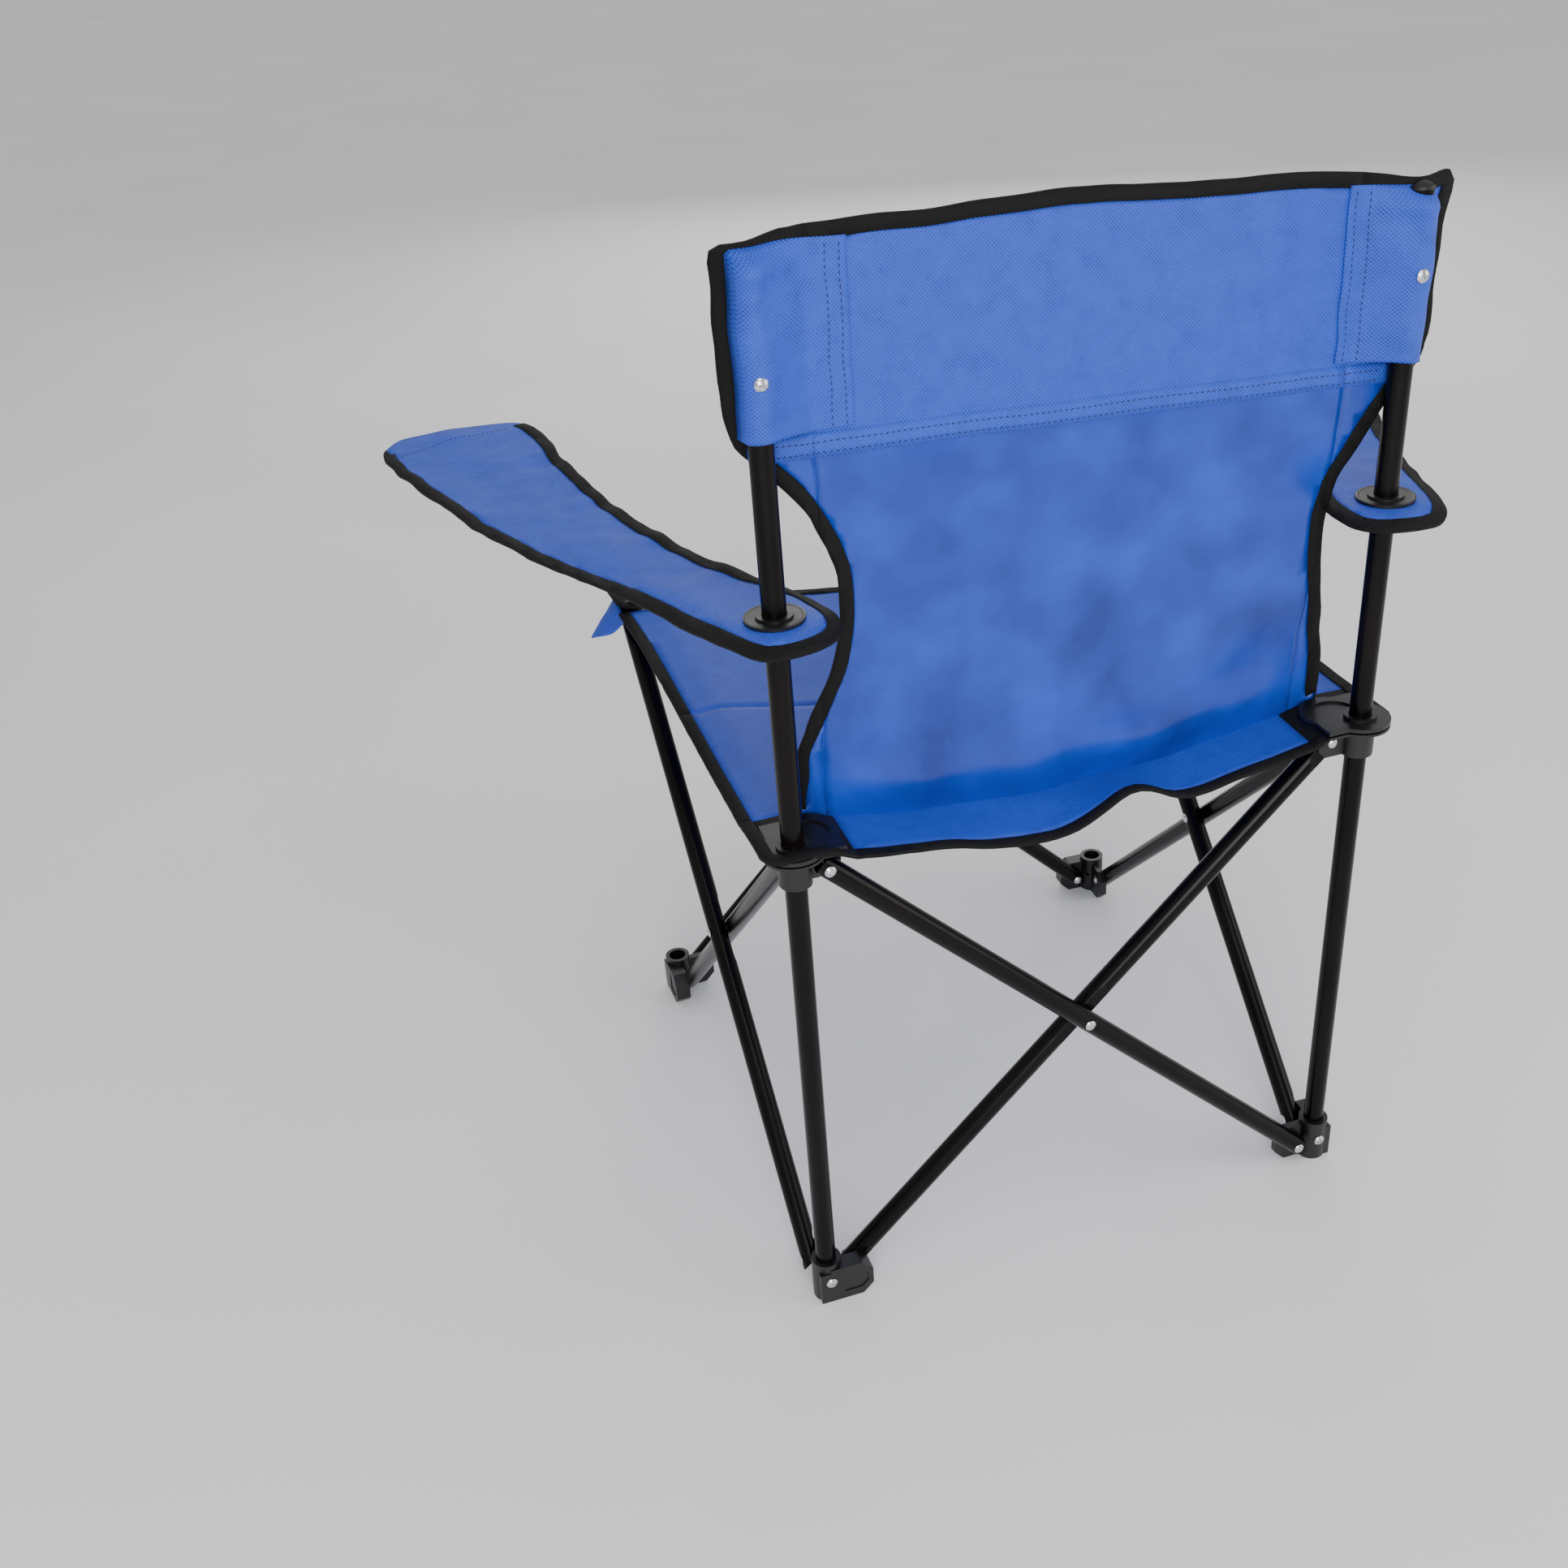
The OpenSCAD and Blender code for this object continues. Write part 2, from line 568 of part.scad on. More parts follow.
color(tape) seat_sheet(false, true);  // seat_rear_binding
color(tape) seat_sheet(true, true);  // seat_front_binding
color(blue) arm_sheet(1, false);  // left_armrest
color(tape) arm_sheet(1, true);  // left_armrest_binding
color(blue) arm_sheet(-1, false);  // right_armrest
color(tape) arm_sheet(-1, true);  // right_armrest_binding
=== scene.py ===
"""Folding camp chair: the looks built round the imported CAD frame.

Lengths are in metres, the chair faces -Y, its left side is +X and it stands on z = 0.
"""
import json
import math

import bmesh
import bpy
from mathutils import Matrix, Vector, noise


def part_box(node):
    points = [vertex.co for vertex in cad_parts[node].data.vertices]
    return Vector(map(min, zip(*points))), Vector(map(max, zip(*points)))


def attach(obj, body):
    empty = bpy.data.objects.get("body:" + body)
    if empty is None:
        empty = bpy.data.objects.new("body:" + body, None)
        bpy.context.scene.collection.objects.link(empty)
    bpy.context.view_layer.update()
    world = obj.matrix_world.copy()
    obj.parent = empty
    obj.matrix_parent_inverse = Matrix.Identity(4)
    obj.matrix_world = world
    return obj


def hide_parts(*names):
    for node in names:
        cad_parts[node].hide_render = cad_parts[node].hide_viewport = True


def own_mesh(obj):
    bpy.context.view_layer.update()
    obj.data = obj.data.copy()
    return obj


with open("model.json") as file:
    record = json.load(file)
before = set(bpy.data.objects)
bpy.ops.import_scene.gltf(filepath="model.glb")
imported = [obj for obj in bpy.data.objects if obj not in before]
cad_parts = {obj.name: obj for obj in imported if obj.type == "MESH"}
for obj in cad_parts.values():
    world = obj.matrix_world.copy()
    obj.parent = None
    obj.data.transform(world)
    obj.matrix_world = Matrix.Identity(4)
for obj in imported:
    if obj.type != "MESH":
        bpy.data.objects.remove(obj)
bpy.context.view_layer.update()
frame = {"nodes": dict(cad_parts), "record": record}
MM = 0.001


def middle(node):
    low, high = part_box(node)
    return (low + high) / 2


POST_X, POST_Y = middle("left_post").x, middle("left_post").y
POST_R = 8 * MM
FLANGE_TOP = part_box("rear_left_bracket")[1].z          # the seat's rear corners lie on this
HUB_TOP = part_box("front_left_hub")[1].z                # and its front corners on this
ARM_Z = middle("left_armrest").z
BACK_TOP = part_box("back_panel")[1].z + 12 * MM         # the binding stands round the panel
BACK_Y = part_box("back_panel")[1].y - 0.7 * MM
SEAT_REAR_Y = POST_Y + 12 * MM
SEAT_FRONT_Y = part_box("seat_front_binding")[0].y
SEAT_SIDE_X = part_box("seat_rear_binding")[1].x
CLOTH = 1.2 * MM
TAPE = 9.5 * MM         # how far the edge binding reaches over the cloth
TAPE_THICK = 2.6 * MM
ARM_YAW = math.radians(15.3)
LEFT, RIGHT = 1, -1
SIDES = ((LEFT, "left"), (RIGHT, "right"))

# ---------------------------------------------------------------- materials


def srgb(code):
    """A hex colour as linear RGBA."""
    parts = [int(code[i:i + 2], 16) / 255 for i in (1, 3, 5)]
    return [c / 12.92 if c <= 0.04045 else ((c + 0.055) / 1.055) ** 2.4 for c in parts] + [1.0]


def add(tree, kind, feeds=None, **settings):
    """Adds a node, sets its properties or sockets, and links the sockets named in feeds."""
    node = tree.nodes.new("ShaderNode" + kind)
    for name, value in settings.items():
        if name == "stops":
            for stop, (at, code) in zip(node.color_ramp.elements, value):
                stop.position, stop.color = at, srgb(code)
        elif hasattr(node, name):
            setattr(node, name, value)
        else:
            node.inputs[name.replace("_", " ")].default_value = value
    for socket, source in (feeds or {}).items():
        tree.links.new(source, node.inputs[socket])
    return node


def start(name, **surface):
    """A new material with its Principled shader set, and the shader's node."""
    material = bpy.data.materials.new(name)
    material.use_nodes = True
    tree = material.node_tree
    shader = tree.nodes["Principled BSDF"]
    for socket, value in surface.items():
        shader.inputs[socket.replace("_", " ")].default_value = value
    return material, tree, shader


def threads(tree, uv, pitch_u, pitch_v):
    """Plain weave: the product of a wave across and a wave along, up where one thread lies over the other."""
    split = add(tree, "SeparateXYZ", {"Vector": uv})
    waves = []
    for axis, pitch in (("X", pitch_u), ("Y", pitch_v)):
        turn = add(tree, "Math", {0: split.outputs[axis]}, operation="MULTIPLY")
        turn.inputs[1].default_value = math.pi / pitch
        waves.append(add(tree, "Math", {0: turn.outputs[0]}, operation="SINE").outputs[0])
    weave = add(tree, "Math", {0: waves[0], 1: waves[1]}, operation="MULTIPLY")
    return add(tree, "MapRange", {"Value": weave.outputs[0]}, From_Min=-1.0, From_Max=1.0).outputs[0]


def per_metre(millimetres):
    """A noise texture's scale for lumps of this size."""
    return 1 / (millimetres * MM)


def powder_coated_tube():
    # Powder coat on steel tube, baked glossy: near-black, a soft orange peel breaks up its long highlights
    material, tree, shader = start("powder_coated_steel_tube", Roughness=0.22, IOR=1.5, Specular_IOR_Level=0.14)
    place = add(tree, "TexCoord").outputs["Object"]
    peel = add(tree, "TexNoise", {"Vector": place}, Scale=per_metre(2.4), Detail=2.0)
    broad = add(tree, "TexNoise", {"Vector": place}, Scale=per_metre(110), Detail=3.0)
    ramp = add(tree, "ValToRGB", {"Fac": broad.outputs["Fac"]}, stops=((0.35, "#050404"), (0.7, "#110D0B")))
    tree.links.new(ramp.outputs["Color"], shader.inputs["Base Color"])
    bump = add(tree, "Bump", {"Height": peel.outputs["Fac"]}, Distance=0.05 * MM, Strength=0.35)
    tree.links.new(bump.outputs["Normal"], shader.inputs["Normal"])
    return material


def moulded_nylon():
    # Injection-moulded black nylon: satin, with a fine spark-eroded grain and a faint clouding of its gloss
    material, tree, shader = start("moulded_black_nylon", IOR=1.52)
    place = add(tree, "TexCoord").outputs["Object"]
    grain = add(tree, "TexNoise", {"Vector": place}, Scale=per_metre(0.7), Detail=2.0)
    cloud = add(tree, "TexNoise", {"Vector": place}, Scale=per_metre(17), Detail=4.0)
    ramp = add(tree, "ValToRGB", {"Fac": cloud.outputs["Fac"]}, stops=((0.3, "#050505"), (0.75, "#0E0E0F")))
    tree.links.new(ramp.outputs["Color"], shader.inputs["Base Color"])
    sheen = add(tree, "MapRange", {"Value": cloud.outputs["Fac"]}, To_Min=0.34, To_Max=0.52)
    tree.links.new(sheen.outputs[0], shader.inputs["Roughness"])
    bump = add(tree, "Bump", {"Height": grain.outputs["Fac"]}, Distance=0.08 * MM, Strength=0.5)
    tree.links.new(bump.outputs["Normal"], shader.inputs["Normal"])
    return material


def plated_zinc():
    # Bright zinc plate over pressed steel: cool, slightly streaky, with small dull spots
    material, tree, shader = start("zinc_plated_steel", Metallic=1.0)
    place = add(tree, "TexCoord").outputs["Object"]
    spots = add(tree, "TexNoise", {"Vector": place}, Scale=per_metre(1.4), Detail=5.0, Roughness=0.6)
    ramp = add(tree, "ValToRGB", {"Fac": spots.outputs["Fac"]}, stops=((0.3, "#A9ACB0"), (0.65, "#E3E5E8")))
    tree.links.new(ramp.outputs["Color"], shader.inputs["Base Color"])
    dull = add(tree, "MapRange", {"Value": spots.outputs["Fac"]}, To_Min=0.16, To_Max=0.4)
    tree.links.new(dull.outputs[0], shader.inputs["Roughness"])
    bump = add(tree, "Bump", {"Height": spots.outputs["Fac"]}, Distance=0.06 * MM, Strength=0.3)
    tree.links.new(bump.outputs["Normal"], shader.inputs["Normal"])
    return material


def oxford_cloth():
    # 600D polyester oxford, plain weave of flat yarns 0.55 mm apart, drawn at 1.3 mm so that it shows:
    # small bright and dark dots in rows, and a faint silk sheen at grazing angles
    material, tree, shader = start("woven_polyester_oxford", Roughness=0.6, IOR=1.5, Sheen_Weight=0.12,
                                   Sheen_Roughness=0.4)
    shader.inputs["Sheen Tint"].default_value = srgb("#5F8AF0")
    uv = add(tree, "TexCoord").outputs["UV"]
    weave = threads(tree, uv, 1.3 * MM, 1.3 * MM)
    slub = add(tree, "TexNoise", {"Vector": uv}, Scale=per_metre(18), Detail=5.0, Roughness=0.65)
    both = add(tree, "Math", {0: weave, 1: slub.outputs["Fac"]}, operation="ADD")
    ramp = add(tree, "ValToRGB", {"Fac": both.outputs[0]}, stops=((0.35, "#0A267E"), (1.3, "#234DC8")))
    tree.links.new(ramp.outputs["Color"], shader.inputs["Base Color"])
    low = add(tree, "Bump", {"Height": slub.outputs["Fac"]}, Distance=0.5 * MM, Strength=0.25)
    tree.links.new(low.outputs["Normal"], shader.inputs["Normal"])
    bump = add(tree, "Bump", {"Height": weave, "Normal": low.outputs["Normal"]}, Distance=0.4 * MM, Strength=1.0)
    tree.links.new(bump.outputs["Normal"], shader.inputs["Normal"])
    return material


def coated_cloth():
    # The same cloth from its polyurethane-coated side: smooth and slightly glossy, softly crumpled
    material, tree, shader = start("coated_side_of_oxford", IOR=1.48, Specular_IOR_Level=0.55)
    uv = add(tree, "TexCoord").outputs["UV"]
    soft = add(tree, "TexNoise", {"Vector": uv}, Scale=per_metre(62), Detail=4.0, Roughness=0.5)
    ramp = add(tree, "ValToRGB", {"Fac": soft.outputs["Fac"]}, stops=((0.3, "#0B2C8A"), (0.7, "#1C48C2")))
    tree.links.new(ramp.outputs["Color"], shader.inputs["Base Color"])
    gloss = add(tree, "MapRange", {"Value": soft.outputs["Fac"]}, From_Min=0.3, From_Max=0.7,
                To_Min=0.26, To_Max=0.4)
    tree.links.new(gloss.outputs[0], shader.inputs["Roughness"])
    bump = add(tree, "Bump", {"Height": soft.outputs["Fac"]}, Distance=1.6 * MM, Strength=0.5)
    tree.links.new(bump.outputs["Normal"], shader.inputs["Normal"])
    return material


def ribbed_tape():
    # Woven polyester binding: dull black, ribs across it every 1.2 mm, drawn at 1.6 mm so that they show, greyer on the ribs
    material, tree, shader = start("ribbed_polyester_binding", Roughness=0.8, IOR=1.5, Specular_IOR_Level=0.3)
    uv = add(tree, "TexCoord").outputs["UV"]
    split = add(tree, "SeparateXYZ", {"Vector": uv})
    turn = add(tree, "Math", {0: split.outputs["X"]}, operation="MULTIPLY")
    turn.inputs[1].default_value = 2 * math.pi / (1.6 * MM)
    rib = add(tree, "Math", {0: turn.outputs[0]}, operation="SINE")
    height = add(tree, "MapRange", {"Value": rib.outputs[0]}, From_Min=-1.0)
    fuzz = add(tree, "TexNoise", {"Vector": uv}, Scale=per_metre(3.8), Detail=3.0)
    both = add(tree, "Math", {0: height.outputs[0], 1: fuzz.outputs["Fac"]}, operation="MULTIPLY")
    ramp = add(tree, "ValToRGB", {"Fac": both.outputs[0]}, stops=((0.1, "#020202"), (0.7, "#0F0D0C")))
    tree.links.new(ramp.outputs["Color"], shader.inputs["Base Color"])
    bump = add(tree, "Bump", {"Height": height.outputs[0]}, Distance=0.35 * MM, Strength=0.9)
    tree.links.new(bump.outputs["Normal"], shader.inputs["Normal"])
    return material


def sewing_thread(name, dark, light):
    # Twisted polyester thread: a slight shine and a fine twist
    material, tree, shader = start(name, Roughness=0.5, Sheen_Weight=0.2)
    place = add(tree, "TexCoord").outputs["Object"]
    twist = add(tree, "TexNoise", {"Vector": place}, Scale=per_metre(0.55), Detail=2.0)
    ramp = add(tree, "ValToRGB", {"Fac": twist.outputs["Fac"]}, stops=((0.3, dark), (0.7, light)))
    tree.links.new(ramp.outputs["Color"], shader.inputs["Base Color"])
    bump = add(tree, "Bump", {"Height": twist.outputs["Fac"]}, Distance=0.1 * MM, Strength=0.5)
    tree.links.new(bump.outputs["Normal"], shader.inputs["Normal"])
    return material


def studio_floor():
    # Matt white laminate sheet: pale and even, with a barely seen clouding
    material, tree, shader = start("matt_white_laminate", Roughness=0.8)
    place = add(tree, "TexCoord").outputs["Object"]
    cloud = add(tree, "TexNoise", {"Vector": place}, Scale=per_metre(650), Detail=2.0)
    ramp = add(tree, "ValToRGB", {"Fac": cloud.outputs["Fac"]}, stops=((0.3, "#F0F0F1"), (0.7, "#F6F6F6")))
    tree.links.new(ramp.outputs["Color"], shader.inputs["Base Color"])
    return material


TUBE, NYLON, ZINC = powder_coated_tube(), moulded_nylon(), plated_zinc()
WEAVE, COATED, BINDING = oxford_cloth(), coated_cloth(), ribbed_tape()
BLUE_THREAD = sewing_thread("blue_thread", "#040C38", "#0B2066")
FINISH = {"tube": TUBE, "plastic": NYLON, "zinc": ZINC, "cloth": WEAVE, "binding": BINDING}

for part in frame["record"]["subparts"]:
    mesh = frame["nodes"][part["node"]].data
    mesh.materials.clear()
    mesh.materials.append(FINISH[part["material_slot"]])

# ---------------------------------------------------------------- cut and sewn panels


def rounded(corners, rounds=3):
    """The outline with its corners worn off, in metres."""
    points = [Vector(c) * MM for c in corners]
    for _ in range(rounds):
        points = [p.lerp(q, t) for p, q in zip(points, points[1:] + points[:1]) for t in (0.25, 0.75)]
    return points


def walk(outline):
    """For a closed outline, a function from a flat point to (length along it, distance from it)."""
    runs, length = [], 0.0
    for p, q in zip(outline, outline[1:] + outline[:1]):
        runs.append((p, (q - p).normalized(), (q - p).length, length))
        length += (q - p).length

    def found(point):
        best = None
        for p, way, run, before in runs:
            t = min(max((point - p).dot(way), 0.0), run)
            gap = (point - p - way * t).length
            if best is None or gap < best[1]:
                best = (before + t, gap)
        return best
    return found


def panel(outline, cell, tape=TAPE, cuts_u=(), cuts_v=()):
    """A flat panel with a strip of binding round it as material 1, cut into small cells and at the given lines."""
    bm = bmesh.new()
    bm.faces.new([bm.verts.new((p[0], p[1], 0)) for p in outline])
    bm.normal_update()
    if bm.faces[:][0].normal.z < 0:
        bmesh.ops.reverse_faces(bm, faces=bm.faces[:])
    if tape:
        strip = bmesh.ops.inset_region(bm, faces=bm.faces[:], thickness=tape, use_even_offset=True,
                                       use_boundary=True)["faces"]
        for f in strip:
            f.material_index = 1
    bmesh.ops.triangulate(bm, faces=bm.faces[:])
    for axis, cuts in ((0, cuts_u), (1, cuts_v)):
        low, high = (edge(p[axis] for p in outline) for edge in (min, max))
        count = max(1, round((high - low) / cell))
        at = [low + (high - low) * i / count for i in range(1, count)]
        at = [a for a in at if all(abs(a - c) > cell * 0.35 for c in cuts)] + list(cuts)
        normal = Vector((1, 0, 0) if axis == 0 else (0, 1, 0))
        for a in at:
            bmesh.ops.bisect_plane(bm, geom=bm.verts[:] + bm.edges[:] + bm.faces[:], plane_co=normal * a,
                                   plane_no=normal)
    slanted = [e for e in bm.edges if len(e.link_faces) == 2
               and e.link_faces[0].material_index == e.link_faces[1].material_index
               and abs(e.verts[0].co.x - e.verts[1].co.x) > 1e-6 and abs(e.verts[0].co.y - e.verts[1].co.y) > 1e-6]
    bmesh.ops.dissolve_edges(bm, edges=slanted, use_verts=True, use_face_split=False)
    bmesh.ops.remove_doubles(bm, verts=bm.verts[:], dist=0.5 * MM)
    return bm


def piece(name, bm, body, materials):
    """Turns a finished bmesh into an object that rides on a body."""
    mesh = bpy.data.meshes.new(name)
    bm.to_mesh(mesh)
    bm.free()
    for material in materials:
        mesh.materials.append(material)
    mesh.shade_smooth()
    obj = bpy.data.objects.new(name, mesh)
    bpy.context.scene.collection.objects.link(obj)
    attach(obj, body)
    return obj


def sew(name, source, keep, place, body, look, run=None, thick=CLOTH, second=None):
    """One piece of a panel: the faces that keep(u, v, is_binding) chooses, carried to their place.

    second is (material, test(u, v)) for a part of the piece whose rear is in another finish. It returns the
    object and its flat (width, length, area)."""
    bm = source.copy()
    out = []
    for f in bm.faces:
        c = f.calc_center_median()
        if not keep(c.x, c.y, f.material_index == 1):
            out.append(f)
    bmesh.ops.delete(bm, geom=out, context="FACES")
    uv = bm.loops.layers.uv.new("cloth")
    found = {}
    for f in bm.faces:
        c = f.calc_center_median()
        f.material_index = 1 if second and second[1](c.x, c.y) else 0
        f.smooth = True
        for loop in f.loops:
            v = loop.vert
            if run and v.index not in found:
                found[v.index] = run(Vector((v.co.x, v.co.y)))
            loop[uv].uv = found[v.index] if run else (v.co.x, v.co.y)
    us, vs = [v.co.x for v in bm.verts], [v.co.y for v in bm.verts]
    flat = (max(us) - min(us), max(vs) - min(vs), sum(f.calc_area() for f in bm.faces))
    for v in bm.verts:
        v.co = place(v.co.x, v.co.y)
    obj = piece(name, bm, body, [look] * 3 + [second[0]] if second else [look])
    wall = obj.modifiers.new("thickness", "SOLIDIFY")
    wall.thickness, wall.offset, wall.use_rim = thick, 0.0, True
    if second:
        wall.material_offset = 2
    return obj, flat


def stitches(name, line, place, body, look, pitch=4 * MM, lift=CLOTH / 2, sides=(1, -1)):
    """A row of stitches along a line of flat points, on both faces of the cloth."""
    bm = bmesh.new()
    points, carried = [Vector(p) for p in line], 0.0
    step = 0.2 * MM
    for p, q in zip(points, points[1:]):
        way, length = (q - p).normalized(), (q - p).length
        t = carried
        while t < length:
            a = p + way * t
            here, ahead = place(a.x, a.y), place(a.x + way.x * step, a.y + way.y * step)
            beside = place(a.x - way.y * step, a.y + way.x * step)
            along = (ahead - here).normalized()
            up = along.cross(beside - here).normalized()
            turn = Matrix((along, up.cross(along), up)).transposed().to_4x4()
            size = Matrix.Diagonal((pitch * 0.36, 0.5 * MM, 0.42 * MM, 1))
            for side in sides:
                bmesh.ops.create_icosphere(bm, subdivisions=1, radius=1,
                                           matrix=Matrix.Translation(here + up * side * lift) @ turn @ size)
            t += pitch
        carried = t - length
    return piece(name, bm, body, [look])


def wrinkle(u, v, size, seed):
    """Smooth noise from -1 to 1 whose lumps are about size wide."""
    return noise.noise(Vector((u / size, v / size, seed)))


def hump(x, centre, width):
    return math.exp(-((x - centre) / width) ** 2)


# ---------------------------------------------------------------- seat shape

SEAT_REAR_Z = FLANGE_TOP + 0.75 * MM
SEAT_FRONT_Z = HUB_TOP + 0.75 * MM
CREASE_Y = POST_Y - 35 * MM         # where the back is sewn to the seat


def seat_height(x, y):
    """The seat hangs between its corners, deepest in the middle, and its rear hem is puckered."""
    share = (POST_Y - y) / (POST_Y - SEAT_FRONT_Y)
    plane = SEAT_REAR_Z + (SEAT_FRONT_Z - SEAT_REAR_Z) * min(max(share, 0.0), 1.0)
    across = max(0.0, 1 - (abs(x) / 0.21) ** 2.2)
    rear = 19 * MM * hump(y, SEAT_REAR_Y, 0.12)
    centre = 30 * MM * hump(y, 0.02, 0.17)
    front = 10 * MM * hump(y, SEAT_FRONT_Y, 0.08)
    sides = 5 * MM * math.sin(math.pi * min(max(share, 0), 1)) * hump(abs(x), 0.235, 0.05)
    near_hem = hump(y, SEAT_REAR_Y, 0.035)
    pucker = (17 * MM * hump(x, -0.034, 0.026) - 6 * MM * hump(x, 0.03, 0.03) - 4 * MM * hump(x, -0.078, 0.026)
              + 3 * MM * hump(x, 0.115, 0.03))
    pucker -= 6 * MM * hump(x, 0.075, 0.05)
    small = 1.6 * MM * wrinkle(x, y, 0.05, 3.1) + 0.8 * MM * wrinkle(x, y, 0.018, 5.7)
    return plane - across * (rear + centre + front) - sides + near_hem * pucker * across + small * min(1, across + 0.25)


def seat_place(x, y):
    return Vector((x, y, seat_height(x, y)))


# ---------------------------------------------------------------- back

BACK_BEND = 650 * MM
BACK_LOW = 424 * MM
BACK_RUN = 32 * MM / (BACK_BEND - BACK_LOW)     # how far the lower back leans forward


def back_place(x, z):
    """The back is flat between the posts, then leans forward to the seat's crease."""
    ease = 30 * MM
    below = BACK_BEND - z
    lean = 0.0 if below < -ease else (below + ease) ** 2 / (4 * ease) if below < ease else below
    y = BACK_Y - lean * BACK_RUN
    inside = max(0.0, 1 - (abs(x) / 0.19) ** 4)
    band = 1 if z > 0.69 else max(0.0, 1 - (0.69 - z) / 0.05)
    y -= inside * (3.0 * MM * (1 - band) + 2.0 * MM * band)
    y += inside * (2.2 * MM * wrinkle(x, z, 0.11, 1.3) + (1 - band) * 4.5 * MM * wrinkle(x * 0.6 + z * 1.2, z * 0.4 - x * 0.8, 0.07, 7.9)
                   + 0.8 * MM * wrinkle(x, z, 0.022, 2.2))
    # soft upright folds hang from the top edge
    y += band * inside * 1.6 * MM * math.sin(x * 47 + 1.5 * wrinkle(x, z, 0.2, 4.4)) * hump(z, 0.72, 0.09)
    # just above the seat it bulges back over the crease
    y += 8 * MM * inside * hump(z, 0.447, 0.014) * (1 + 0.5 * wrinkle(x, 0, 0.06, 5.5))
    edge = 3.5 * MM * wrinkle(x * 2, z * 2, 0.05, 9.2)
    y += (1 - inside) * edge * 0.35
    drop = max(0.0, min(1.0, (0.56 - z) / (0.56 - BACK_LOW)))
    # it hangs a little crooked on its posts, higher on the left
    crooked = (10 * MM * x / POST_X + 1 * MM) * max(0.0, min(1.0, (z - 0.43) / 0.27))
    top = max(0.0, (z - 0.76) / (BACK_TOP - 0.76))
    # over the posts' ends its top edge lies back against the pockets' top
    over = hump(abs(x), POST_X, 0.022) * max(0.0, min(1.0, (z - 0.792) / 0.020))
    y += over * 8 * MM
    z += drop * drop * (seat_height(x, CREASE_Y) - BACK_LOW - 3 * MM) + crooked
    z += top * (1.0 * MM * math.sin(x * 38 + 0.8) + 0.8 * MM * wrinkle(x, 0, 0.03, 6.1))
    x += 2.6 * MM * wrinkle(z, x, 0.024, 8.8) * (1 - inside)
    return Vector((x, y, z))


# The back's cut, in millimetres: broad where it wraps the posts, notched in above the armrests, flared at the seat
SHOULDER = {LEFT: 240, RIGHT: 245}      # half width from the corner down to the shoulder
NOTCH = {LEFT: 170, RIGHT: 185}         # half width at the notch, which is cut deeper on the left
EAR = {LEFT: 0, RIGHT: 5}               # the right top corner is pulled out to a small point
HIP, FOOT = 200, 210
TOP_Z, SHOULDER_Z, NOTCH_Z, HIP_Z, FOOT_Z = 825, 700, 585, 490, 420


def back_side(side):
    """One side of the back, from the seat's crease up to the middle of its top edge."""
    wide, notch, ear = SHOULDER[side], NOTCH[side], EAR[side]
    return [(side * x, z) for x, z in (
        (FOOT - 45, FOOT_Z), (FOOT, FOOT_Z), (FOOT - 5, FOOT_Z + 35), (HIP, HIP_Z), (notch + 10, NOTCH_Z - 65),
        (notch, NOTCH_Z - 25), (notch, NOTCH_Z + 20), (notch + 20, NOTCH_Z + 65), (wide - 20, SHOULDER_Z - 20),
        (wide, SHOULDER_Z), (wide, TOP_Z - 35), (wide + ear, TOP_Z - 15), (wide - 5 + ear, TOP_Z - 10 + ear),
        (wide - 20, TOP_Z - 10), (wide - 60, TOP_Z - 5), (60, TOP_Z))]


BACK_OUTLINE = rounded(back_side(LEFT) + back_side(RIGHT)[::-1], 2)
SEAM_X = 183.6 * MM            # inner seam of the pole pockets
BAND_LOW = 690 * MM            # the woven band ends here, and the coated lower back starts

back = panel(BACK_OUTLINE, 7 * MM, cuts_u=(-SEAM_X, SEAM_X), cuts_v=(BAND_LOW,))
along_back = walk(BACK_OUTLINE)


def at_crease(x, z):
    return z < BACK_LOW + TAPE * 0.8


BACK_PARTS = (("back_middle", "rear_left", lambda x: abs(x) < SEAM_X),
              ("back_left_side", "rear_left", lambda x: x > SEAM_X),
              ("back_right_side", "rear_right", lambda x: x < -SEAM_X))
for name, body, here in BACK_PARTS:
    sheet, flat = sew(name, back, lambda x, z, tape, here=here: here(x) and (not tape or at_crease(x, z)),
                      back_place, body, WEAVE, second=(COATED, lambda x, z: z < BAND_LOW))
    edge, _ = sew(name + "_binding", back, lambda x, z, tape, here=here: here(x) and tape and not at_crease(x, z),
                  back_place, body, BINDING, run=along_back, thick=TAPE_THICK)
    if name == "back_middle":
        for obj in (sheet, edge):
            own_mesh(obj)
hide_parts("back_panel")
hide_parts("back_binding")


def hem_place(x, z):
    """The free lower edge of the woven band, lying on the rear of the coated cloth."""
    share = max(0.0, (HEM_HIGH - z) / (HEM_HIGH - HEM_LOW))
    return back_place(x, z) + Vector((0, (CLOTH + 0.3 * MM) * share ** 0.6 - 0.05 * MM, 0))


